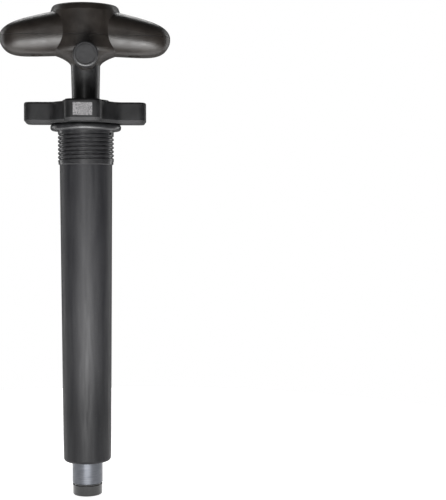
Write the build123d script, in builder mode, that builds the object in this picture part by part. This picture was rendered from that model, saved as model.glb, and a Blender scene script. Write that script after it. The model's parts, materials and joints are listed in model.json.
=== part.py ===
from build123d import *
import os
from math import cos, radians, sin, sqrt

# A hand air pump with a T-grip, a pressure gauge on top of the grip, an air outlet
# at the front, a threaded fixing collar and a four-lobed clamping nut.
# Millimetres. The pump's axis is Z and the collar's seat is at z = 0. The grip lies
# along X above it, the outlet faces -Y, and the cylinder hangs below.

# ---- driving dimensions -------------------------------------------------------------

# Grip
grip_half_length = 64.0
grip_half_depth = 20.3
grip_tip_power = 9
grip_seam = 69.8
grip_top_root = 87.9
grip_top_slope = 0.25
grip_bottom_root = 56.9
grip_bottom_slope = 0.03
grip_roundness = 0.86

# Gauge housing and bowl, in the middle of the grip
body_radius = 26.2
boss_top_radius = 24.4
boss_top = 93.0
bowl_bottom = 49.0
neck_top_radius = 11.0

# Gauge, counted down from the top of its housing
lip_height = boss_top - 2.5
lens_thickness = 1.5
lens_top = lip_height - 0.9
lens_bottom = lens_top - lens_thickness
case_radius = 20.4
case_inner_radius = 19.4
case_top = lens_bottom - 0.6
case_bottom = case_top - 17.0
dial_height = case_top - 4.0
window_radius = 18.9
gear_module = 0.22
pinion_teeth = 12
sector_wheel_teeth = 96
zero_angle = 196.0

# Stem, rod and piston
stem_bottom = 13.0
stem_bottom_radius = 10.15
rod_radius = 6.0
rod_bore_radius = 4.0
rod_top = 44.0
rod_bottom = -246.0
piston_radius = 9.7
piston_top = -236.0
piston_bottom = -252.0
ball_radius = 2.4
seat_radius = 1.8

# Outlet
outlet_height = 53.0
outlet_radius = 8.4
outlet_shell_end = 30.0
nozzle_radius = 6.5
nozzle_tip_radius = 6.2
nozzle_tip = 39.0
cap_radius = 9.2
cap_end = 42.8

# Nut, collar and thread
nut_bottom = 5.3
nut_top = 21.0
nut_reach = 45.6
nut_hub_radius = 28.0
nut_lobe_width = 27.0
nut_angle = -3.0
flange_radius = 26.6
flange_thickness = 5.0
thread_radius = 21.0
pilot_radius = 20.7
pilot_length = 2.2
thread_pitch = 3.0
thread_depth = 1.0
collar_bottom = -25.4
collar_bore = 16.5
spigot_radius = 16.0
spigot_top = 12.0

# Cylinder
casing_top_radius = 19.8
casing_end_radius = 17.9
casing_end = -251.0
liner_radius = 11.2
liner_end_radius = 11.55
bore_radius = 10.0
liner_end = -268.0
plug_radius = 11.3
plug_end = -277.0
fit_gap = 0.05
guide_radius = 11.5


# ---- helpers ------------------------------------------------------------------------

def turn(outline, mode=Mode.ADD):
    """Turns a closed outline of (radius, height) points about the pump's axis."""
    with BuildSketch(Plane.XZ) as section:
        with BuildLine():
            Polyline(*outline, close=True)
        make_face()
    revolve(section.sketch, axis=Axis.Z, mode=mode)


def ring(inner, outer, low, high, mode=Mode.ADD):
    """A plain ring, or a disc when inner is 0, between two heights."""
    turn([(inner, low), (outer, low), (outer, high), (inner, high)], mode)


def front_bar(radius, near, far, height=outlet_height, mode=Mode.ADD):
    """A round bar along -Y from distance near to distance far in front of the axis."""
    with BuildSketch(Plane.XZ.offset(near)) as section:
        with Locations((0, height)):
            Circle(radius)
    extrude(section.sketch, amount=far - near, mode=mode)


def coil(radius, wire, low, high, turns):
    """A compression spring's wire, standing on the axis."""
    with BuildLine() as line:
        Helix((high - low) / turns, high - low, radius, center=(0, 0, low))
    with BuildSketch(Plane(origin=line.line @ 0, z_dir=line.line % 0)) as section:
        Circle(wire)
    sweep(section.sketch, path=line.line, is_frenet=True)


def save(piece, name):
    """Labels a finished piece and writes it to its own file."""
    piece.part.label = name
    export_step(piece.part, f"parts/{name}.step")


def arm_share(x):
    """How much of its full size a section of the arm keeps, falling off at its tip."""
    return sqrt(1 - (x / grip_half_length) ** grip_tip_power)


def gear_teeth(centre, pitch_radius, angles):
    """Slim teeth standing on a gear's root circle, one at each angle."""
    root = pitch_radius - 1.1 * gear_module
    tip = pitch_radius + 0.8 * gear_module
    for angle in angles:
        with Locations(Location((*centre, 0), (0, 0, angle))):
            Polygon(
                (root - 0.1, -0.17), (tip, -0.06), (tip, 0.06), (root - 0.1, 0.17),
                align=None,
            )


os.makedirs("parts", exist_ok=True)


# ---- grip shells --------------------------------------------------------------------

screw_x = 36.5
screw_seat = 63.6
screw_post_radius = 6.0
counterbore_radius = 5.0
gauge_bore = case_radius + fit_gap
manifold_top = 64.0

def arm_section(x):
    """The arm's rounded section at distance x from the axis."""
    up = grip_top_root - grip_top_slope * (x - body_radius) - grip_seam
    down = grip_seam - grip_bottom_root + grip_bottom_slope * (x - body_radius)
    up *= arm_share(x)
    down *= arm_share(x)
    depth = grip_half_depth * arm_share(x)
    with BuildSketch(Plane.YZ.offset(x)) as section:
        with Locations((0, grip_seam + (up - down) / 2)):
            RectangleRounded(2 * depth, up + down, grip_roundness * min(depth, (up + down) / 2))
    return section.sketch


straight_stations = (14.0, 30.0, 38.0, 44.0)
tip_stations = (44.0, 48.5, 52.5, 56.0, 59.0, 61.2, 62.7, 63.5, 63.9)
with BuildPart() as arm:
    loft([arm_section(x) for x in straight_stations], ruled=True)
    loft([arm_section(x) for x in tip_stations])

with BuildPart() as hollow:
    for end in (-1, 1):
        with BuildSketch(Plane.YZ.offset(end * (body_radius - 2))):
            with Locations((0, grip_seam)):
                RectangleRounded(30.0, 19.0, 8.0)
        extrude(amount=end * 27.0)
        with Locations((end * screw_x, 0, grip_seam)):
            Cylinder(screw_post_radius, 60, mode=Mode.SUBTRACT)

with BuildPart() as grip:
    add(arm.part)
    mirror(about=Plane.YZ)
    ring(0, body_radius - 0.5, 80, 120, Mode.SUBTRACT)
    with BuildSketch(Plane.XZ) as body_section:
        with BuildLine():
            Polyline(
                (body_radius, grip_bottom_root + 4), (body_radius, boss_top - 4.6),
                (boss_top_radius + 0.6, boss_top - 1.0), (boss_top_radius - 0.3, boss_top),
                (0, boss_top), (0, bowl_bottom), (neck_top_radius, bowl_bottom),
            )
            Spline(
                (neck_top_radius, bowl_bottom), (13.0, 51.6), (17.0, 54.2),
                (22.0, 56.4), (body_radius, grip_bottom_root + 4),
                tangents=((0.35, 1), (0.2, 1)),
            )
        make_face()
    revolve(body_section.sketch, axis=Axis.Z)
    add(hollow.part, mode=Mode.SUBTRACT)

seam_depth = 0.55
seam_half_height = 0.22
seam_points = [(x, grip_half_depth * arm_share(x) - seam_depth) for x in straight_stations + tip_stations[1:6]]
with BuildPart() as seam_line:
    with BuildSketch(Plane.XY.offset(grip_seam - seam_half_height)):
        Rectangle(200, 100)
        with BuildLine(mode=Mode.PRIVATE) as kept:
            Line((0, seam_points[0][1]), seam_points[0])
            Spline(
                *seam_points, (grip_half_length - seam_depth, 0),
                tangents=((1, 0), (0, -1)),
            )
            mirror(about=Plane.XZ)
            mirror(about=Plane.YZ)
        make_face(kept.edges(), mode=Mode.SUBTRACT)
    extrude(amount=2 * seam_half_height)
    ring(0, body_radius - seam_depth, 60, 80, Mode.SUBTRACT)

with BuildPart() as handle_upper_shell:
    add(grip.part)
    split(bisect_by=Plane.XY.offset(grip_seam), keep=Keep.TOP)
    add(seam_line.part, mode=Mode.SUBTRACT)
    ring(0, gauge_bore, grip_seam, lip_height, Mode.SUBTRACT)
    turn([(0, lip_height), (19.9, lip_height), (21.4, boss_top), (0, boss_top)], Mode.SUBTRACT)
    with Locations((screw_x, 0, grip_seam), (-screw_x, 0, grip_seam)):
        Cylinder(1.9, 16, mode=Mode.SUBTRACT)
save(handle_upper_shell, "handle_upper_shell")

with BuildPart() as handle_lower_shell:
    add(grip.part)
    split(bisect_by=Plane.XY.offset(grip_seam), keep=Keep.BOTTOM)
    front_bar(outlet_radius, neck_top_radius + 0.1, outlet_shell_end)
    add(seam_line.part, mode=Mode.SUBTRACT)
    ring(0, 18.0, manifold_top, grip_seam, Mode.SUBTRACT)
    ring(0, 10.05, bowl_bottom - 6, manifold_top, Mode.SUBTRACT)
    front_bar(nozzle_radius + fit_gap, 5, outlet_shell_end, mode=Mode.SUBTRACT)
    with Locations((screw_x, 0, grip_seam), (-screw_x, 0, grip_seam)):
        Cylinder(2.0, 14, mode=Mode.SUBTRACT)
    with Locations((screw_x, 0, screw_seat), (-screw_x, 0, screw_seat)):
        Cylinder(
            counterbore_radius, 12, mode=Mode.SUBTRACT,
            align=(Align.CENTER, Align.CENTER, Align.MAX),
        )
save(handle_lower_shell, "handle_lower_shell")

with BuildPart() as handle_screws:
    for x in (-screw_x, screw_x):
        with BuildSketch(Plane.XY.offset(screw_seat - 2.4)):
            with Locations((x, 0)):
                Circle(3.6)
        extrude(amount=2.4)
        with BuildSketch(Plane.XY.offset(screw_seat)):
            with Locations((x, 0)):
                Circle(1.9)
        extrude(amount=13.6)
        with BuildSketch(Plane.XY.offset(screw_seat - 2.4)):
            with Locations((x, 0)):
                RegularPolygon(1.75, 6)
        extrude(amount=1.4, mode=Mode.SUBTRACT)
save(handle_screws, "handle_screws")


# ---- stem, manifold and outlet ------------------------------------------------------

manifold_stem_radius = 8.6
manifold_stem_bottom = 32.0
manifold_seal_low = 36.0
boss_end = 12.0
air_hole = 2.0

with BuildPart() as stem_sleeve:
    turn([
        (rod_radius + 0.1, stem_bottom), (stem_bottom_radius, stem_bottom),
        (neck_top_radius, bowl_bottom), (manifold_stem_radius + fit_gap, bowl_bottom),
        (manifold_stem_radius + fit_gap, manifold_stem_bottom),
        (rod_radius + 0.1, manifold_stem_bottom),
    ])
    front_bar(nozzle_radius + fit_gap, 5, 14, mode=Mode.SUBTRACT)
save(stem_sleeve, "stem_sleeve")

with BuildPart() as manifold:
    ring(0, manifold_stem_radius, manifold_stem_bottom, bowl_bottom)
    ring(0, 10.0, bowl_bottom, manifold_top)
    front_bar(nozzle_radius, 0, boss_end)
    ring(0, rod_radius, manifold_stem_bottom, rod_top, Mode.SUBTRACT)
    ring(rod_radius, 7.2, manifold_seal_low, manifold_seal_low + 1.6, Mode.SUBTRACT)
    ring(0, air_hole, rod_top, manifold_top, Mode.SUBTRACT)
    ring(0, 4.0, manifold_top - 5, manifold_top, Mode.SUBTRACT)
    front_bar(air_hole, 0, boss_end, mode=Mode.SUBTRACT)
save(manifold, "manifold")

with BuildPart() as manifold_o_ring:
    with Locations((0, 0, manifold_seal_low + 0.8)):
        Torus(6.62, 0.58)
save(manifold_o_ring, "manifold_o_ring")

with BuildPart() as nozzle_seal:
    front_bar(nozzle_radius - 0.2, boss_end, boss_end + 1)
    front_bar(air_hole, boss_end, boss_end + 1, mode=Mode.SUBTRACT)
save(nozzle_seal, "nozzle_seal")

mouth_radius = 3.2
mouth_depth = 12.0
with BuildPart() as outlet_nozzle:
    front_bar(nozzle_radius, boss_end + 1, outlet_shell_end)
    front_bar(nozzle_tip_radius, outlet_shell_end, nozzle_tip)
    chamfer(outlet_nozzle.edges().sort_by(Axis.Y)[0], 0.6)
    front_bar(air_hole, boss_end + 1, nozzle_tip, mode=Mode.SUBTRACT)
    front_bar(mouth_radius, nozzle_tip - mouth_depth, nozzle_tip, mode=Mode.SUBTRACT)
save(outlet_nozzle, "outlet_nozzle")

cap_start = outlet_shell_end + 0.4
cap_floor = 40.8
with BuildPart() as port_cap:
    front_bar(outlet_radius + 0.2, cap_start, cap_start + 3)
    front_bar(cap_radius, cap_start + 3, cap_end)
    fillet(port_cap.edges().sort_by(Axis.Y)[0], 1.2)
    front_bar(nozzle_tip_radius + 0.3, cap_start, cap_floor, mode=Mode.SUBTRACT)
    with BuildSketch(Plane.XZ.offset(cap_end - 0.7)) as cap_groove:
        with Locations((0, outlet_height)):
            Circle(7.4)
            Circle(6.8, mode=Mode.SUBTRACT)
    extrude(cap_groove.sketch, amount=2, mode=Mode.SUBTRACT)
save(port_cap, "port_cap")

with BuildPart() as cap_seal:
    front_bar(nozzle_tip_radius + 0.3, cap_floor - 1.4, cap_floor)
save(cap_seal, "cap_seal")


# ---- gauge --------------------------------------------------------------------------

with BuildPart() as gauge_case:
    ring(0, case_radius, case_bottom, case_top)
    ring(0, case_inner_radius, case_bottom + 1.5, case_top, Mode.SUBTRACT)
    ring(0, 4.0, case_bottom, case_bottom + 1.5, Mode.SUBTRACT)
save(gauge_case, "gauge_case")

with BuildPart() as gauge_seal:
    ring(4.0, 7.0, manifold_top, manifold_top + 1)
save(gauge_seal, "gauge_seal")

tube_ring_radius = 17.0
tube_radius = 1.2
tube_height = case_bottom + 7.0
tube_start = 200.0
socket_top = case_bottom + 3.2
with BuildPart() as gauge_socket:
    ring(0, 4.0, manifold_top - 4, socket_top)
    ring(0, 7.0, manifold_top + 1, case_bottom)
    ring(0, 5.0, case_bottom + 1.5, socket_top)
    with BuildSketch(Plane.XY.offset(case_bottom + 1.5)):
        with Locations(Location((0, 0, 0), (0, 0, tube_start))):
            Rectangle(19.0, 4.0, align=(Align.MIN, Align.CENTER))
    extrude(amount=socket_top - case_bottom - 1.5)
    with BuildSketch(Plane.XY.offset(socket_top)):
        with Locations(Location((0, 0, 0), (0, 0, tube_start))):
            with Locations((tube_ring_radius, 0)):
                Rectangle(3.6, 4.0)
    extrude(amount=tube_height + 1.8 - socket_top)
    ring(0, 1.2, manifold_top - 4, case_bottom + 1.5, Mode.SUBTRACT)
save(gauge_socket, "gauge_socket")

with BuildPart() as bourdon_tube:
    with BuildLine(Plane.XY.offset(tube_height)) as tube_path:
        CenterArc((0, 0), tube_ring_radius, tube_start + 7.5, 252)
    with BuildSketch(Plane(origin=tube_path.line @ 0, z_dir=tube_path.line % 0)):
        Ellipse(0.8, tube_radius)
    sweep(path=tube_path.line)
save(bourdon_tube, "bourdon_tube")

pinion_radius = gear_module * pinion_teeth / 2
sector_radius = gear_module * sector_wheel_teeth / 2
sector_centre = (0.0, -(pinion_radius + sector_radius))
arbor_radius = 0.6
frame_low = socket_top
frame_high = case_bottom + 9.0
plate = 1.0
dial_screw_radius = 7.2
dial_screw_angle = 177.0
dial_screw_places = [
    (turn_sign * dial_screw_radius * cos(radians(dial_screw_angle)),
     turn_sign * dial_screw_radius * sin(radians(dial_screw_angle)))
    for turn_sign in (1, -1)
]

with BuildPart() as movement_frame:
    for low in (frame_low, frame_high):
        with BuildSketch(Plane.XY.offset(low)):
            with Locations((0, -5.5)):
                Rectangle(10, 19)
            if low == frame_high:
                Rectangle(18, 3.6)
            with Locations((0, 0), sector_centre):
                Circle(arbor_radius + fit_gap, mode=Mode.SUBTRACT)
        extrude(amount=plate)
    with BuildSketch(Plane.XY.offset(frame_low + plate)):
        with Locations((-4.0, -13.2), (4.0, -13.2), (-4.0, 3.2), (4.0, 3.2)):
            Circle(0.8)
    extrude(amount=frame_high - frame_low - plate)
    with BuildSketch(Plane.XY.offset(frame_high + plate)):
        with Locations(*dial_screw_places):
            Circle(1.6)
    extrude(amount=dial_height - frame_high - plate)
    with BuildSketch(Plane.XY.offset(dial_height - 2)):
        with Locations(*dial_screw_places):
            Circle(0.8)
    extrude(amount=2, mode=Mode.SUBTRACT)
save(movement_frame, "movement_frame")

gear_height = case_bottom + 6.0
sector_step = 360 / sector_wheel_teeth
sector_teeth_angles = [90 + step * sector_step for step in range(-9, 4)]
sector_root = sector_radius - 1.1 * gear_module
fan = [sector_centre] + [
    (sector_centre[0] + sector_root * cos(radians(angle)),
     sector_centre[1] + sector_root * sin(radians(angle)))
    for angle in sector_teeth_angles
]
with BuildPart() as sector_gear:
    with BuildSketch(Plane.XY.offset(gear_height)):
        Polygon(*fan, align=None)
        with Locations(sector_centre):
            Circle(2.0)
        gear_teeth(sector_centre, sector_radius, sector_teeth_angles)
        with Locations(sector_centre):
            Circle(arbor_radius, mode=Mode.SUBTRACT)
    extrude(amount=0.8)
save(sector_gear, "sector_gear")

with BuildPart() as sector_arbor:
    with BuildSketch(Plane.XY.offset(frame_low + 0.3)):
        with Locations(sector_centre):
            Circle(arbor_radius)
    extrude(amount=frame_high + 0.7 - frame_low - 0.3)
save(sector_arbor, "sector_arbor")

pinion_step = 360 / pinion_teeth
with BuildPart() as pinion_arbor:
    ring(0, arbor_radius, frame_low + 0.3, dial_height + 2.4)
    with BuildSketch(Plane.XY.offset(gear_height - 0.3)):
        Circle(pinion_radius - 1.1 * gear_module)
        gear_teeth(
            (0, 0), pinion_radius,
            [-90 + (step + 0.5) * pinion_step for step in range(pinion_teeth)],
        )
    extrude(amount=1.4)
save(pinion_arbor, "pinion_arbor")

dial_thickness = 0.5
with BuildPart() as dial_plate:
    ring(1.2, case_inner_radius - fit_gap, dial_height, dial_height + dial_thickness)
    with BuildSketch(Plane.XY.offset(dial_height)):
        with Locations(*dial_screw_places):
            Circle(0.8)
    extrude(amount=dial_thickness, mode=Mode.SUBTRACT)
save(dial_plate, "dial_plate")

dial_face = dial_height + dial_thickness
with BuildPart() as dial_screws:
    with BuildSketch(Plane.XY.offset(dial_face)):
        with Locations(*dial_screw_places):
            Circle(1.9)
    extrude(amount=0.6)
    with BuildSketch(Plane.XY.offset(dial_height - 2)):
        with Locations(*dial_screw_places):
            Circle(0.8)
    extrude(amount=2 + dial_thickness)
    with BuildSketch(Plane.XY.offset(dial_face + 0.25)):
        with Locations(*dial_screw_places):
            Rectangle(4.4, 0.5, rotation=35)
    extrude(amount=0.6, mode=Mode.SUBTRACT)
save(dial_screws, "dial_screws")

stop_radius = 13.7
stop_angle = radians(203.7)
with BuildPart() as stop_pin:
    with BuildSketch(Plane.XY.offset(dial_face)):
        with Locations((stop_radius * cos(stop_angle), stop_radius * sin(stop_angle))):
            Circle(1.3)
    extrude(amount=2.1)
    chamfer(stop_pin.edges().sort_by(Axis.Z)[-1], 0.3)
save(stop_pin, "stop_pin")

pointer_height = dial_height + 1.6
with BuildPart() as pointer:
    with BuildSketch(Plane.XY.offset(pointer_height)):
        with Locations(Location((0, 0, 0), (0, 0, zero_angle))):
            Polygon((0, -1.1), (14.3, -0.2), (14.3, 0.2), (0, 1.1), align=None)
            Polygon((0, -0.9), (-7.0, -1.7), (-7.0, 1.7), (0, 0.9), align=None)
        Circle(3.4)
        Circle(arbor_radius, mode=Mode.SUBTRACT)
    extrude(amount=0.5)
save(pointer, "pointer")

with BuildPart() as pointer_cap:
    turn([
        (arbor_radius, pointer_height + 0.5), (2.4, pointer_height + 0.5),
        (2.4, pointer_height + 1.0), (1.9, pointer_height + 1.4),
        (0, pointer_height + 1.5), (0, pointer_height + 0.8),
        (arbor_radius, pointer_height + 0.8),
    ])
save(pointer_cap, "pointer_cap")

with BuildPart() as lens_gasket:
    ring(window_radius, case_radius - 0.1, case_top, lens_bottom)
save(lens_gasket, "lens_gasket")

with BuildPart() as lens:
    ring(0, case_radius - 0.1, lens_bottom, lens_top)
save(lens, "lens")

with BuildPart() as gauge_bezel:
    turn([
        (window_radius, lens_top), (case_radius, lens_top), (case_radius, lip_height),
        (19.7, lip_height), (window_radius, lens_top + 0.5),
    ])
save(gauge_bezel, "gauge_bezel")


# ---- rod and piston -----------------------------------------------------------------

seat_top = piston_bottom + 3.0
groove_low = -249.2
groove_high = -243.8
groove_radius = 8.0
ball_centre = seat_top + sqrt(ball_radius**2 - seat_radius**2) + 0.02
keeper_low = -238.0

with BuildPart() as piston_rod:
    ring(rod_bore_radius, rod_radius, rod_bottom, rod_top)
save(piston_rod, "piston_rod")

with BuildPart() as piston_body:
    turn([
        (5.0, piston_bottom), (piston_radius, piston_bottom), (piston_radius, groove_low),
        (groove_radius, groove_low), (groove_radius, groove_high),
        (piston_radius, groove_high), (piston_radius, piston_top),
        (rod_radius, piston_top), (rod_radius, rod_bottom),
        (rod_bore_radius, rod_bottom), (rod_bore_radius, seat_top), (5.0, seat_top),
    ])
save(piston_body, "piston_body")

with BuildPart() as piston_valve_seat:
    ring(seat_radius, 5.0, piston_bottom, seat_top)
save(piston_valve_seat, "piston_valve_seat")

with BuildPart() as piston_ball:
    with Locations((0, 0, ball_centre)):
        Sphere(ball_radius)
save(piston_ball, "piston_ball")

with BuildPart() as valve_spring_keeper:
    ring(1.5, rod_bore_radius, keeper_low, keeper_low + 2)
save(valve_spring_keeper, "valve_spring_keeper")

spring_wire = 0.25
with BuildPart() as piston_spring:
    coil(1.9, spring_wire, ball_centre + ball_radius + 0.3, keeper_low - 0.3, 5)
save(piston_spring, "piston_spring")

with BuildPart() as piston_cup:
    turn([
        (groove_radius + 0.1, groove_low + 0.2), (bore_radius - 0.3, groove_low + 0.2),
        (bore_radius - fit_gap, groove_low + 1.2), (bore_radius - fit_gap, groove_high - 0.2),
        (groove_radius + 0.1, groove_high - 0.2),
    ])
save(piston_cup, "piston_cup")


# ---- cylinder and collar ------------------------------------------------------------

spigot_end = -4.0
with BuildPart() as barrel_casing:
    turn([
        (14.5, spigot_end), (collar_bore, spigot_end), (collar_bore, -7.0),
        (15.3, -7.0), (15.3, -9.4), (collar_bore, -9.4), (collar_bore, collar_bottom),
        (casing_top_radius, collar_bottom), (casing_end_radius + 0.35, -232.0),
        (casing_end_radius, casing_end), (liner_radius, casing_end),
        (liner_radius, casing_end + 5), (14.5, casing_end + 9),
    ])
    casing_rims = barrel_casing.edges().filter_by(GeomType.CIRCLE)
    bottom_rim = casing_rims.filter_by_position(Axis.Z, casing_end - 1, casing_end + 1)
    fillet(bottom_rim.sort_by(SortBy.RADIUS)[-1], 2.2)
save(barrel_casing, "barrel_casing")

with BuildPart() as collar_o_ring:
    with Locations((0, 0, -8.2)):
        Torus(15.9, 0.58)
save(collar_o_ring, "collar_o_ring")

thread_start = collar_bottom + pilot_length
with BuildPart() as threaded_collar:
    turn([
        (guide_radius, spigot_end), (collar_bore, spigot_end), (collar_bore, collar_bottom),
        (pilot_radius - 0.4, collar_bottom), (pilot_radius, collar_bottom + 0.4),
        (pilot_radius, thread_start), (thread_radius, thread_start),
        (thread_radius, 0), (flange_radius, 0),
        (flange_radius, flange_thickness), (spigot_radius, flange_thickness),
        (spigot_radius, spigot_top), (guide_radius, spigot_top),
    ])
    flange_rims = threaded_collar.edges().filter_by(GeomType.CIRCLE)
    fillet(flange_rims.group_by(SortBy.RADIUS)[-1], 2.2)
    with BuildLine() as thread_line:
        Helix(thread_pitch, 20.8, thread_radius, center=(0, 0, thread_start + 0.3))
    groove_plane = Plane(
        origin=thread_line.line @ 0, x_dir=(1, 0, 0), z_dir=thread_line.line % 0
    )
    with BuildSketch(groove_plane) as groove:
        Polygon(
            (0.5, -1.25), (-thread_depth, -0.25), (-thread_depth, 0.25), (0.5, 1.25),
            align=None,
        )
    sweep(groove.sketch, path=thread_line.line, is_frenet=True, mode=Mode.SUBTRACT)
save(threaded_collar, "threaded_collar")

with BuildPart() as cylinder_liner:
    ring(bore_radius, liner_radius, casing_end, spigot_end)
    ring(bore_radius, liner_end_radius, liner_end, casing_end)
    liner_rims = cylinder_liner.edges().group_by(Axis.Z)[0]
    chamfer(liner_rims.sort_by(SortBy.RADIUS)[-1], 0.5)
save(cylinder_liner, "cylinder_liner")

with BuildPart() as rod_guide:
    turn([
        (rod_radius + fit_gap, -12.0), (bore_radius - fit_gap, -12.0),
        (bore_radius - fit_gap, spigot_end), (guide_radius, spigot_end),
        (guide_radius, 10.0), (rod_radius + fit_gap, 10.0),
    ])
save(rod_guide, "rod_guide")

with BuildPart() as rod_wiper:
    ring(rod_radius + fit_gap, guide_radius, 10.0, spigot_top)
save(rod_wiper, "rod_wiper")

with BuildPart() as top_bumper:
    ring(rod_radius + 0.3, bore_radius - 0.1, -14.0, -12.0)
save(top_bumper, "top_bumper")

shank_top = -262.0
with BuildPart() as end_plug:
    turn([
        (2.5, plug_end + 2), (6.0, plug_end + 2), (6.0, plug_end), (plug_radius, plug_end),
        (plug_radius, liner_end - 1.2), (plug_radius - 0.9, liner_end - 1.2),
        (plug_radius - 0.9, liner_end), (9.9, liner_end), (9.9, -266.0), (8.7, -266.0),
        (8.7, -264.6), (9.9, -264.6), (9.9, shank_top), (2.5, shank_top),
    ])
    plug_rims = end_plug.edges().group_by(Axis.Z)[0]
    fillet(plug_rims.sort_by(SortBy.RADIUS)[-1], 1.2)
save(end_plug, "end_plug")

with BuildPart() as end_plug_o_ring:
    with Locations((0, 0, -265.3)):
        Torus(9.35, 0.63)
save(end_plug_o_ring, "end_plug_o_ring")

with BuildPart() as inlet_filter:
    ring(0, 6.0, plug_end + 0.6, plug_end + 2)
save(inlet_filter, "inlet_filter")

cage_top = -254.5
with BuildPart() as intake_cage:
    ring(0, 9.9, shank_top, cage_top)
    ring(0, 6.5, shank_top, cage_top - 1, Mode.SUBTRACT)
    with BuildSketch(Plane.XY.offset(cage_top - 1)):
        with PolarLocations(4.6, 6):
            Circle(1.3)
        Circle(1.0)
    extrude(amount=1, mode=Mode.SUBTRACT)
save(intake_cage, "intake_cage")

disc_low = shank_top + fit_gap
disc_high = disc_low + 1.0
with BuildPart() as intake_disc:
    ring(0, 4.2, disc_low, disc_high)
save(intake_disc, "intake_disc")

with BuildPart() as intake_spring:
    coil(2.2, spring_wire, disc_high + 0.3, cage_top - 1.3, 4)
save(intake_spring, "intake_spring")


# ---- clamping nut -------------------------------------------------------------------

with BuildPart() as lobed_nut:
    with BuildSketch(Plane.XY.offset(nut_bottom)) as lobes:
        Circle(nut_hub_radius)
        for quarter in range(4):
            with Locations(Location((0, 0, 0), (0, 0, nut_angle + 90 * quarter))):
                Rectangle(nut_reach, nut_lobe_width, align=(Align.MIN, Align.CENTER))
        corners = lobes.vertices().group_by(lambda vertex: Vector(vertex).length)
        fillet(corners[-1], 6.2)
        inner = lobes.vertices().filter_by(lambda vertex: Vector(vertex).length < 29)
        fillet(inner.filter_by(lambda vertex: Vector(vertex).length > 25), 7.0)
    extrude(amount=nut_top - nut_bottom)
    chamfer(lobed_nut.edges().group_by(Axis.Z)[0], 2.2, 1.6)
    fillet(lobed_nut.edges().group_by(Axis.Z)[-1], 1.6)
    turn([(0, nut_top - 1), (18.0, nut_top - 1), (17.4, nut_top + 2), (0, nut_top + 2)])
    ring(0, spigot_radius + 0.3, nut_bottom, spigot_top + 1.3, Mode.SUBTRACT)
    ring(0, 13.0, nut_bottom, nut_top + 3, Mode.SUBTRACT)
    ring(0, 22.3, nut_bottom, 7.0, Mode.SUBTRACT)
save(lobed_nut, "lobed_nut")

with BuildPart() as slip_ring:
    ring(spigot_radius + 0.3, 22.0, nut_bottom - 0.1, 6.7)
save(slip_ring, "slip_ring")
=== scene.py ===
import json
from math import cos, radians, sin

import bmesh
import bpy
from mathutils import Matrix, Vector


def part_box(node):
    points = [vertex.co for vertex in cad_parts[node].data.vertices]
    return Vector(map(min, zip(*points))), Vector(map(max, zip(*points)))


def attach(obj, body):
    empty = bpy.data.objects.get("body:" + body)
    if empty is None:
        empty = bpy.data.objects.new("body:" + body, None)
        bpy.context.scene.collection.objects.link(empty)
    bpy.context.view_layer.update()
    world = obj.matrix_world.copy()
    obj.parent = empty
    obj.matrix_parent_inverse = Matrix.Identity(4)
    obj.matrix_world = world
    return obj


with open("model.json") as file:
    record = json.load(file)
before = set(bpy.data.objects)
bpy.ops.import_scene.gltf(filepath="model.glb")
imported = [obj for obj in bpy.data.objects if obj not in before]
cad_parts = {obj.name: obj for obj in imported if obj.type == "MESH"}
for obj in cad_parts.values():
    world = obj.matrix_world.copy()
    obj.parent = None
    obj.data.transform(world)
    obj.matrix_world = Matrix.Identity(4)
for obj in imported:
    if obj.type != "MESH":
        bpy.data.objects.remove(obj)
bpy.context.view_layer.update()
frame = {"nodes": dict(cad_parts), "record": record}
MM = 0.001


# ---- camera, floor and light ---------------------------------------------------------

def add_camera():
    """A long lens level with the barrel, panned so that the pump stands at the left."""
    data = bpy.data.cameras.new("camera")
    dip, turn = 2.5, 6.8
    data.lens = 82.5
    data.sensor_width = 36.0
    data.clip_end = 50.0
    camera = bpy.data.objects.new("camera", data)
    camera.location = (0.0, -0.877, -0.052)
    camera.rotation_euler = (radians(90 - dip), 0.0, radians(-turn))
    bpy.context.scene.collection.objects.link(camera)
    bpy.context.scene.camera = camera


def add_area_light(name, place, target, width, height, power):
    """A soft rectangular lamp that looks at target."""
    data = bpy.data.lights.new(name, "AREA")
    data.shape = "RECTANGLE"
    data.size = width
    data.size_y = height
    data.energy = power
    lamp = bpy.data.objects.new(name, data)
    lamp.location = place
    aim = Vector(target) - Vector(place)
    lamp.rotation_euler = aim.to_track_quat("-Z", "Y").to_euler()
    lamp.visible_camera = False
    bpy.context.scene.collection.objects.link(lamp)


def add_world(seen, cast):
    """A plain white surround: seen by the camera at one strength, lighting at another."""
    world = bpy.data.worlds.new("studio")
    world.use_nodes = True
    bpy.context.scene.world = world
    nodes, links = world.node_tree.nodes, world.node_tree.links
    background = nodes["Background"]
    background.inputs["Color"].default_value = (1, 1, 1, 1)
    path = nodes.new("ShaderNodeLightPath")
    level = nodes.new("ShaderNodeMapRange")
    level.inputs["To Min"].default_value = cast
    level.inputs["To Max"].default_value = seen
    links.new(path.outputs["Is Camera Ray"], level.inputs["Value"])
    links.new(level.outputs["Result"], background.inputs["Strength"])


def add_floor(height):
    """A wide pale floor just under the pump's end, glowing like a light table."""
    mesh = bpy.data.meshes.new("floor")
    build = bmesh.new()
    bmesh.ops.create_circle(build, cap_ends=True, segments=96, radius=0.5)
    build.to_mesh(mesh)
    build.free()
    floor = bpy.data.objects.new("floor", mesh)
    floor.location = (0, 0, height)
    bpy.context.scene.collection.objects.link(floor)
    paint = bpy.data.materials.new("floor_paint")
    paint.use_nodes = True
    shader = paint.node_tree.nodes["Principled BSDF"]
    shader.inputs["Base Color"].default_value = (0.93, 0.93, 0.93, 1)
    shader.inputs["Roughness"].default_value = 0.9
    shader.inputs["Emission Color"].default_value = (1, 1, 1, 1)
    shader.inputs["Emission Strength"].default_value = 0.9
    mesh.materials.append(paint)


# ---- materials -----------------------------------------------------------------------

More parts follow.
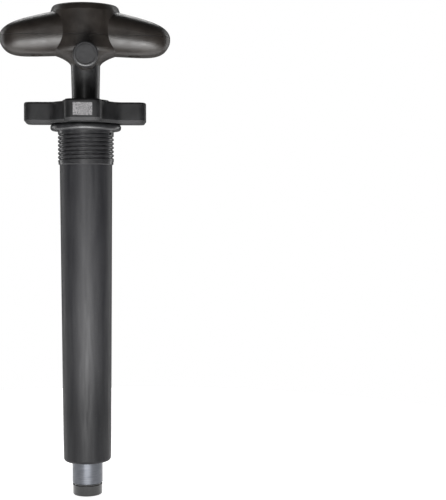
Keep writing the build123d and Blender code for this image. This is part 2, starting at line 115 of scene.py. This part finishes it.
class Paint:
    """A material being built: its nodes and links, and its one Principled shader."""

    def __init__(self, name):
        self.material = bpy.data.materials.new(name)
        self.material.use_nodes = True
        self.tree = self.material.node_tree
        self.shader = self.tree.nodes["Principled BSDF"]
        self.place = self.tree.nodes.new("ShaderNodeTexCoord").outputs["Object"]

    def node(self, kind, **settings):
        made = self.tree.nodes.new(kind)
        for key, value in settings.items():
            setattr(made, key, value)
        return made

    def link(self, source, target):
        self.tree.links.new(source, target)

    def set(self, **values):
        """Plain values on the shader's own sockets, spaces written as underscores."""
        for key, value in values.items():
            self.shader.inputs[key.replace("_", " ")].default_value = value

    def noise(self, size, detail=3.0, stretch=(1, 1, 1)):
        """Noise whose grains are size metres across, stretched along an axis if asked."""
        scaled = self.node("ShaderNodeMapping")
        scaled.inputs["Scale"].default_value = stretch
        self.link(self.place, scaled.inputs["Vector"])
        made = self.node("ShaderNodeTexNoise")
        made.inputs["Scale"].default_value = 1.0 / size
        made.inputs["Detail"].default_value = detail
        self.link(scaled.outputs["Vector"], made.inputs["Vector"])
        return made.outputs["Fac"]

    def cells(self, size):
        """Spark-eroded mould texture: small irregular cells size metres across."""
        made = self.node("ShaderNodeTexVoronoi")
        made.inputs["Scale"].default_value = 1.0 / size
        self.link(self.place, made.inputs["Vector"])
        return made.outputs["Distance"]

    def spread(self, value, low, high, from_low=0.35, from_high=0.65):
        """Value brought to the range from low to high."""
        made = self.node("ShaderNodeMapRange")
        made.inputs["From Min"].default_value = from_low
        made.inputs["From Max"].default_value = from_high
        made.inputs["To Min"].default_value = low
        made.inputs["To Max"].default_value = high
        self.link(value, made.inputs["Value"])
        return made.outputs["Result"]

    def blend(self, amount, first, second):
        """A colour between two colours or sockets, by amount."""
        made = self.node("ShaderNodeMix", data_type="RGBA")
        self.link(amount, made.inputs["Factor"])
        for socket, colour in ((made.inputs["A"], first), (made.inputs["B"], second)):
            if isinstance(colour, tuple):
                socket.default_value = (*colour, 1)
            else:
                self.link(colour, socket)
        return made.outputs["Result"]

    def bump(self, height, depth, strength=1.0, under=None):
        """Relief depth metres high, over another relief if given."""
        made = self.node("ShaderNodeBump")
        made.inputs["Strength"].default_value = strength
        made.inputs["Distance"].default_value = depth
        self.link(height, made.inputs["Height"])
        if under:
            self.link(under, made.inputs["Normal"])
        return made.outputs["Normal"]

    def pads(self, turn, reach, half_width, low, high):
        """Mask of a painted highlight: 1 on the end faces of four arms turned by turn degrees, inside a
        margin.
        """
        turned = self.node("ShaderNodeMapping")
        turned.inputs["Rotation"].default_value = (0, 0, radians(-turn))
        self.link(self.place, turned.inputs["Vector"])
        size = self.node("ShaderNodeVectorMath", operation="ABSOLUTE")
        self.link(turned.outputs["Vector"], size.inputs[0])
        parts = self.node("ShaderNodeSeparateXYZ")
        self.link(size.outputs["Vector"], parts.inputs["Vector"])
        share = None
        for pick, first, last in (
            ("MAXIMUM", reach - 0.0002, reach), ("MINIMUM", half_width + 0.0003, half_width),
        ):
            far = self.node("ShaderNodeMath", operation=pick)
            self.link(parts.outputs["X"], far.inputs[0])
            self.link(parts.outputs["Y"], far.inputs[1])
            share = self.times(share, self.spread(far.outputs["Value"], 0.0, 1.0, first, last))
        for edge, inside in ((low, low + 0.0003), (high, high - 0.0003)):
            share = self.times(share, self.spread(parts.outputs["Z"], 0.0, 1.0, edge, inside))
        return share

    def times(self, first, second):
        """Product of two values, or the second alone when there is no first."""
        if first is None:
            return second
        made = self.node("ShaderNodeMath", operation="MULTIPLY")
        self.link(first, made.inputs[0])
        self.link(second, made.inputs[1])
        return made.outputs["Value"]

    def edges(self, radius):
        """How strongly the surface turns within radius metres, from 0 to 1."""
        rounded = self.node("ShaderNodeBevel", samples=6)
        rounded.inputs["Radius"].default_value = radius
        plain = self.node("ShaderNodeNewGeometry")
        dot = self.node("ShaderNodeVectorMath", operation="DOT_PRODUCT")
        self.link(rounded.outputs["Normal"], dot.inputs[0])
        self.link(plain.outputs["Normal"], dot.inputs[1])
        return self.spread(dot.outputs["Value"], 1.0, 0.0, 0.86, 0.99)

    def finish(self, colour=None, rough=None, normal=None):
        for socket, source in (("Base Color", colour), ("Roughness", rough), ("Normal", normal)):
            if source is not None:
                self.link(source, self.shader.inputs[socket])
        return self.material


def moulded(name, dark, light, worn, rough, grain, depth, wear=0.35, ior=1.49, pads=None):
    """Moulded black plastic: eroded grain, faint mottling, paler rubbed edges and,
    if highlight patches are placed, a painted highlight of pale flecked colour on them."""
    paint = Paint(name)
    mottle = paint.noise(0.012, 5.0)
    colour = paint.blend(paint.spread(mottle, 0.0, 1.0), dark, light)
    edge = paint.node("ShaderNodeMath", operation="MULTIPLY")
    paint.link(paint.edges(0.0007), edge.inputs[0])
    paint.link(paint.spread(paint.noise(0.004), wear * 0.3, wear), edge.inputs[1])
    colour = paint.blend(edge.outputs["Value"], colour, worn)
    # Painted highlight: pale flecked colour laid on the end faces of the nut's lobes, standing in for
    # light falling on them.
    if pads:
        highlight_speckle = paint.blend(
            paint.spread(paint.noise(0.0006, 4.0), 0.0, 1.0),
            (0.05, 0.05, 0.05), (0.22, 0.215, 0.22))
        colour = paint.blend(paint.pads(**pads), colour, highlight_speckle)
    roughness = paint.spread(paint.noise(0.006, 4.0), rough - 0.05, rough + 0.07)
    low = paint.bump(paint.noise(grain * 4, 2.0), depth * 1.2, 0.5)
    normal = paint.bump(paint.cells(grain), depth, 0.9, under=low)
    paint.set(IOR=ior)
    return paint.finish(colour, roughness, normal)


def satin(name, dark, light, rough, flow=(1, 1, 0.08), coat=0.0, ior=1.5):
    """Smoother plastic with fine scratches and dust specks, and with mould flow that is
    drawn out along Z unless flow says otherwise."""
    paint = Paint(name)
    streak = paint.noise(0.003, 4.0, stretch=flow)
    colour = paint.blend(paint.spread(streak, 0.0, 1.0), dark, light)
    speck = paint.spread(paint.noise(0.0006, 2.0), 0.0, 0.25, 0.66, 0.72)
    colour = paint.blend(speck, colour, (0.09, 0.09, 0.09))
    roughness = paint.spread(paint.noise(0.0016, 5.0, stretch=flow), rough - 0.05, rough + 0.06)
    waves = paint.bump(paint.noise(0.014, 2.0), 0.00006, 0.35)
    normal = paint.bump(paint.noise(0.0005, 3.0, stretch=flow), 0.00001, 0.6, under=waves)
    paint.set(IOR=ior, Coat_Weight=coat, Coat_Roughness=0.12)
    return paint.finish(colour, roughness, normal)


def metal(name, dark, light, rough, grain=0.0004, brush=(1, 1, 30), depth=0.000006):
    """Turned or drawn metal: fine lines, cloudy tone and uneven shine."""
    paint = Paint(name)
    lines = paint.noise(grain * 20, 6.0, stretch=brush)
    colour = paint.blend(paint.spread(lines, 0.0, 1.0), dark, light)
    roughness = paint.spread(paint.noise(0.005, 4.0), rough - 0.06, rough + 0.08)
    normal = paint.bump(lines, depth, 0.7)
    paint.set(Metallic=1.0)
    return paint.finish(colour, roughness, normal)


def rubber(name, dark=(0.012, 0.012, 0.012), light=(0.03, 0.03, 0.031)):
    """Matte rubber with a fine bloom."""
    paint = Paint(name)
    colour = paint.blend(paint.spread(paint.noise(0.002, 5.0), 0.0, 1.0), dark, light)
    roughness = paint.spread(paint.noise(0.001, 3.0), 0.65, 0.85)
    normal = paint.bump(paint.noise(0.0003, 3.0), 0.00002, 0.7)
    return paint.finish(colour, roughness, normal)


def printed(name, dark, light, rough=0.42, shine=0.0):
    """Enamel or screen-printed ink with slight mottling and an uneven film."""
    paint = Paint(name)
    colour = paint.blend(paint.spread(paint.noise(0.0018, 5.0), 0.0, 1.0), dark, light)
    roughness = paint.spread(paint.noise(0.001, 3.0), rough - 0.06, rough + 0.06)
    normal = paint.bump(paint.noise(0.0004, 3.0), 0.000006, 0.5)
    paint.set(Metallic=shine)
    return paint.finish(colour, roughness, normal)


def zone_ink(name, inner, outer):
    """Ink that shades from one colour near the dial's centre to another at its edge."""
    paint = Paint(name)
    flat = paint.node("ShaderNodeVectorMath", operation="MULTIPLY")
    flat.inputs[1].default_value = (1, 1, 0)
    paint.link(paint.place, flat.inputs[0])
    length = paint.node("ShaderNodeVectorMath", operation="LENGTH")
    paint.link(flat.outputs["Vector"], length.inputs[0])
    share = paint.spread(length.outputs["Value"], 0.0, 1.0, 0.0065, 0.0175)
    colour = paint.blend(share, inner, outer)
    roughness = paint.spread(paint.noise(0.001, 3.0), 0.36, 0.48)
    return paint.finish(colour, roughness, paint.bump(paint.noise(0.0004), 0.000006, 0.5))


def clear_lens(name):
    """Clear moulded window: bends and mirrors light, and lets lamplight straight in."""
    paint = Paint(name)
    paint.set(Transmission_Weight=1.0, IOR=1.46, Base_Color=(0.97, 0.985, 0.99, 1))
    rough = paint.spread(paint.noise(0.003, 4.0), 0.0, 0.035, 0.45, 0.7)
    paint.finish(rough=rough)
    clear = paint.node("ShaderNodeBsdfTransparent")
    path = paint.node("ShaderNodeLightPath")
    mix = paint.node("ShaderNodeMixShader")
    paint.link(path.outputs["Is Shadow Ray"], mix.inputs[0])
    paint.link(paint.shader.outputs["BSDF"], mix.inputs[1])
    paint.link(clear.outputs["BSDF"], mix.inputs[2])
    paint.link(mix.outputs["Shader"], paint.tree.nodes["Material Output"].inputs["Surface"])
    return paint.material


def foam(name):
    """Open-celled filter foam."""
    paint = Paint(name)
    colour = paint.blend(paint.cells(0.0007), (0.05, 0.05, 0.045), (0.3, 0.3, 0.27))
    paint.set(Roughness=0.95)
    return paint.finish(colour, normal=paint.bump(paint.cells(0.0007), 0.0003, 1.0))


# Where the painted highlight patches lie on the nut's lobes: a turn in degrees, and the rest in metres.
NUT_HIGHLIGHT_PADS = {
    "turn": -3.0,
    "reach": 0.0454,
    "half_width": 0.0068,
    "low": 0.0088,
    "high": 0.0183,
}


def make_materials():
    """One finished material for each of the record's slots, and the dial's inks."""
    return {
        "grip_plastic": moulded(
            "grip_plastic", (0.0125, 0.0102, 0.0088), (0.021, 0.0175, 0.015),
            (0.06, 0.058, 0.056), rough=0.4, grain=0.00055, depth=0.00006),
        # The nut's plastic carries a painted highlight on its lobes' end faces.
        "nut_plastic": moulded(
            "nut_plastic", (0.006, 0.006, 0.0063), (0.011, 0.011, 0.0115),
            (0.075, 0.075, 0.075), rough=0.48, grain=0.0005, depth=0.00005, wear=0.5,
            ior=1.34, pads=NUT_HIGHLIGHT_PADS),
        "stem_plastic": satin(
            "stem_plastic", (0.008, 0.008, 0.009), (0.015, 0.015, 0.016), rough=0.46,
            flow=(1, 1, 1), coat=0.1, ior=1.65),
        "thread_plastic": satin(
            "thread_plastic", (0.009, 0.009, 0.010), (0.017, 0.017, 0.018), rough=0.36,
            flow=(1, 1, 1), coat=0.1),
        "casing_black": satin(
            "casing_black", (0.008, 0.008, 0.0095), (0.014, 0.014, 0.0155), rough=0.5,
            ior=1.37),
        "bezel_black": satin(
            "bezel_black", (0.006, 0.006, 0.006), (0.012, 0.012, 0.012), rough=0.16,
            coat=0.5),
        "inner_plastic": satin(
            "inner_plastic", (0.09, 0.09, 0.095), (0.15, 0.15, 0.155), rough=0.42),
        "aluminium": metal(
            "aluminium", (0.105, 0.11, 0.122), (0.145, 0.152, 0.168), rough=0.34),
        "steel": metal("steel", (0.42, 0.42, 0.43), (0.62, 0.62, 0.63), rough=0.3),
        "brass": metal(
            "brass", (0.62, 0.50, 0.29), (0.83, 0.72, 0.47), rough=0.27, brush=(1, 1, 1)),
        "rubber": rubber("rubber"),
        "filter_foam": foam("filter_foam"),
        "dial_print": printed(
            "dial_print", (0.72, 0.72, 0.69), (0.82, 0.82, 0.79), rough=0.36, shine=0.12),
        "pointer_black": printed("pointer_black", (0.006, 0.006, 0.006), (0.014, 0.014, 0.014)),
        "lens_glass": clear_lens("lens_glass"),
        "ink_black": printed("ink_black", (0.008, 0.008, 0.009), (0.02, 0.02, 0.022)),
        "ink_red": printed("ink_red", (0.50, 0.022, 0.018), (0.62, 0.04, 0.03)),
        "zone_green": zone_ink("zone_green", (0.42, 0.55, 0.06), (0.03, 0.30, 0.06)),
        "zone_red": zone_ink("zone_red", (0.80, 0.26, 0.04), (0.62, 0.03, 0.025)),
    }


def dress_frame(materials):
    """Gives every CAD node the material of its slot in the record."""
    for subpart in frame["record"]["subparts"]:
        node = frame["nodes"][subpart["node"]]
        for place in node.material_slots:
            place.material = materials[subpart["material_slot"]]


# ---- dial print ----------------------------------------------------------------------

PRINT_LIFT = 0.02 * MM
INK = 0.03 * MM
ZONE_INNER = 6.7 * MM
DIAL_EDGE = 19.1 * MM
BAR_ARC = 13.6 * MM
PSI_ARC = 12.8 * MM
PSI_PER_BAR = 14.504
BAR_MAX = 5
TICKS_PER_BAR = 5
PSI_PER_TICK = 2
PSI_TICKS = 36
LONG_TICK_EVERY = 5
FIRST_BAR_TURN = 34.0
BAR_TURN = 43.6
ANGLE_AT_ZERO = 195.0
GREEN_FROM_BAR = 4.0
RED_FROM_BAR = 4.42
ZONE_LOW = 0.002 * MM
ZONE_HIGH = 0.012 * MM
BAR_NUMBER_REACH = 16.9 * MM
PSI_NUMBER_REACH = 9.7 * MM
LAST_PSI_NUMBER = 70
UNIT_SIZE = 3.2 * MM
ARC_STEP = radians(2.0)


def scale_angle(bar):
    """The dial's angle in radians for a pressure: the first bar takes less of the arc."""
    turned = FIRST_BAR_TURN * min(bar, 1.0) + BAR_TURN * max(bar - 1.0, 0.0)
    return radians(ANGLE_AT_ZERO - turned)


def add_piece(name, build, material, body="handle"):
    """Turns a bmesh into a piece that rides on a body."""
    bmesh.ops.recalc_face_normals(build, faces=build.faces)
    mesh = bpy.data.meshes.new(name)
    build.to_mesh(mesh)
    build.free()
    mesh.materials.append(material)
    piece = bpy.data.objects.new(name, mesh)
    bpy.context.scene.collection.objects.link(piece)
    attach(piece, body)
    return piece


def add_sector(build, inner, outer, start, end, low, high):
    """Adds a closed ring sector between two radii, angles and heights."""
    steps = max(2, int(abs(end - start) / ARC_STEP) + 1)
    columns = []
    for step in range(steps + 1):
        angle = start + (end - start) * step / steps
        columns.append([
            build.verts.new((radius * cos(angle), radius * sin(angle), height))
            for radius, height in ((inner, low), (outer, low), (outer, high), (inner, high))
        ])
    for here, there in zip(columns, columns[1:]):
        for side in range(4):
            after = (side + 1) % 4
            build.faces.new((here[side], here[after], there[after], there[side]))
    build.faces.new(columns[0])
    build.faces.new(columns[-1])


def add_tick(build, angle, inner, outer, width, low):
    """Adds one radial tick of a scale."""
    half = width / (inner + outer)
    add_sector(build, inner, outer, angle - half, angle + half, low, low + INK)


def add_scales(face, materials):
    """The black outer scale and the red inner scale, with their ticks."""
    low = face + PRINT_LIFT
    black, red = bmesh.new(), bmesh.new()
    start, end = scale_angle(0), scale_angle(BAR_MAX)
    add_sector(black, BAR_ARC, BAR_ARC + 0.2 * MM, start, end, low, low + INK)
    for step in range(BAR_MAX * TICKS_PER_BAR + 1):
        long = step % LONG_TICK_EVERY == 0
        reach = (1.55 if long else 0.85) * MM
        width = (0.34 if long else 0.2) * MM
        angle = scale_angle(step / TICKS_PER_BAR)
        add_tick(black, angle, BAR_ARC + 0.2 * MM, BAR_ARC + reach, width, low)
    add_sector(red, PSI_ARC, PSI_ARC + 0.16 * MM, start, end, low, low + INK)
    for step in range(PSI_TICKS + 1):
        long = step % LONG_TICK_EVERY == 0
        reach = (1.2 if long else 0.65) * MM
        width = (0.28 if long else 0.16) * MM
        angle = scale_angle(step * PSI_PER_TICK / PSI_PER_BAR)
        add_tick(red, angle, PSI_ARC - reach, PSI_ARC, width, low)
    add_piece("dial_bar_scale", black, materials["ink_black"])
    add_piece("dial_psi_scale", red, materials["ink_red"])


def add_zones(face, materials):
    """The green and the red band of the dial."""
    for name, first, last in (
        ("zone_green", GREEN_FROM_BAR, RED_FROM_BAR), ("zone_red", RED_FROM_BAR, BAR_MAX),
    ):
        build = bmesh.new()
        add_sector(
            build, ZONE_INNER, DIAL_EDGE, scale_angle(first), scale_angle(last),
            face + ZONE_LOW, face + ZONE_HIGH)
        add_piece("dial_" + name, build, materials[name])


def add_text(name, words, x, y, size, face, material, bold=0.0):
    """A short printed word or number, centred on a point of the dial."""
    curve = bpy.data.curves.new(name, "FONT")
    curve.body = words
    curve.size = size
    curve.align_x = "CENTER"
    curve.align_y = "CENTER"
    curve.offset = bold
    curve.extrude = INK / 2
    curve.resolution_u = 3
    text = bpy.data.objects.new(name + "_curve", curve)
    bpy.context.scene.collection.objects.link(text)
    bpy.context.view_layer.update()
    mesh = bpy.data.meshes.new_from_object(text.evaluated_get(
        bpy.context.evaluated_depsgraph_get()))
    bpy.data.objects.remove(text)
    build = bmesh.new()
    build.from_mesh(mesh)
    bpy.data.meshes.remove(mesh)
    bmesh.ops.remove_doubles(build, verts=build.verts, dist=1e-7)
    bmesh.ops.translate(build, verts=build.verts, vec=(x, y, face + PRINT_LIFT + INK / 2))
    return add_piece(name, build, material)


def add_numerals(face, materials):
    """Bar numbers outside the scale, psi numbers inside it, and the two units."""
    for bar in range(BAR_MAX + 1):
        angle = scale_angle(bar)
        x, y = BAR_NUMBER_REACH * cos(angle), BAR_NUMBER_REACH * sin(angle)
        add_text(
            f"dial_bar_{bar}", str(bar), x, y,
            3.0 * MM, face, materials["ink_black"], 0.03 * MM)
    for psi in range(10, LAST_PSI_NUMBER + 1, 10):
        angle = scale_angle(psi / PSI_PER_BAR)
        x, y = PSI_NUMBER_REACH * cos(angle), PSI_NUMBER_REACH * sin(angle)
        add_text(
            f"dial_psi_{psi}", str(psi), x, y,
            2.1 * MM, face, materials["ink_red"], 0.015 * MM)
    for unit, y, ink in (("psi", -6.4 * MM, "ink_red"), ("bar", -9.9 * MM, "ink_black")):
        add_text(f"dial_unit_{unit}", unit, 0, y, UNIT_SIZE, face, materials[ink], 0.02 * MM)


# ---- the scene -----------------------------------------------------------------------

add_camera()
add_world(seen=1.0, cast=0.045)
add_floor(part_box("end_plug")[0][2] - 0.5 * MM)
add_area_light("front_softbox", (-0.45, -2.0, -0.25), (0, 0, -0.08), width=0.3, height=1.0, power=3.6)
add_area_light("knee_softbox", (-0.03, -0.48, -0.24), (0, 0.05, 0.3), width=0.42, height=0.1, power=3.2)
add_area_light("low_softbox", (0.0, -0.24, -0.2), (0, -0.2, 0.5), width=0.5, height=0.3, power=2.2)
add_area_light("top_softbox", (0.0, 1.1, 1.3), (0, 0, 0), width=1.2, height=0.6, power=13)
add_area_light("left_strip", (-1.2, 0.9, 0.1), (0, 0, -0.05), width=0.25, height=1.8, power=7)
add_area_light("right_strip", (1.2, 0.9, 0.1), (0, 0, -0.05), width=0.25, height=1.8, power=7)
bpy.context.scene.view_settings.view_transform = "Standard"

finishes = make_materials()
dress_frame(finishes)
dial_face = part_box("dial_plate")[1][2]
add_zones(dial_face, finishes)
add_scales(dial_face, finishes)
add_numerals(dial_face, finishes)
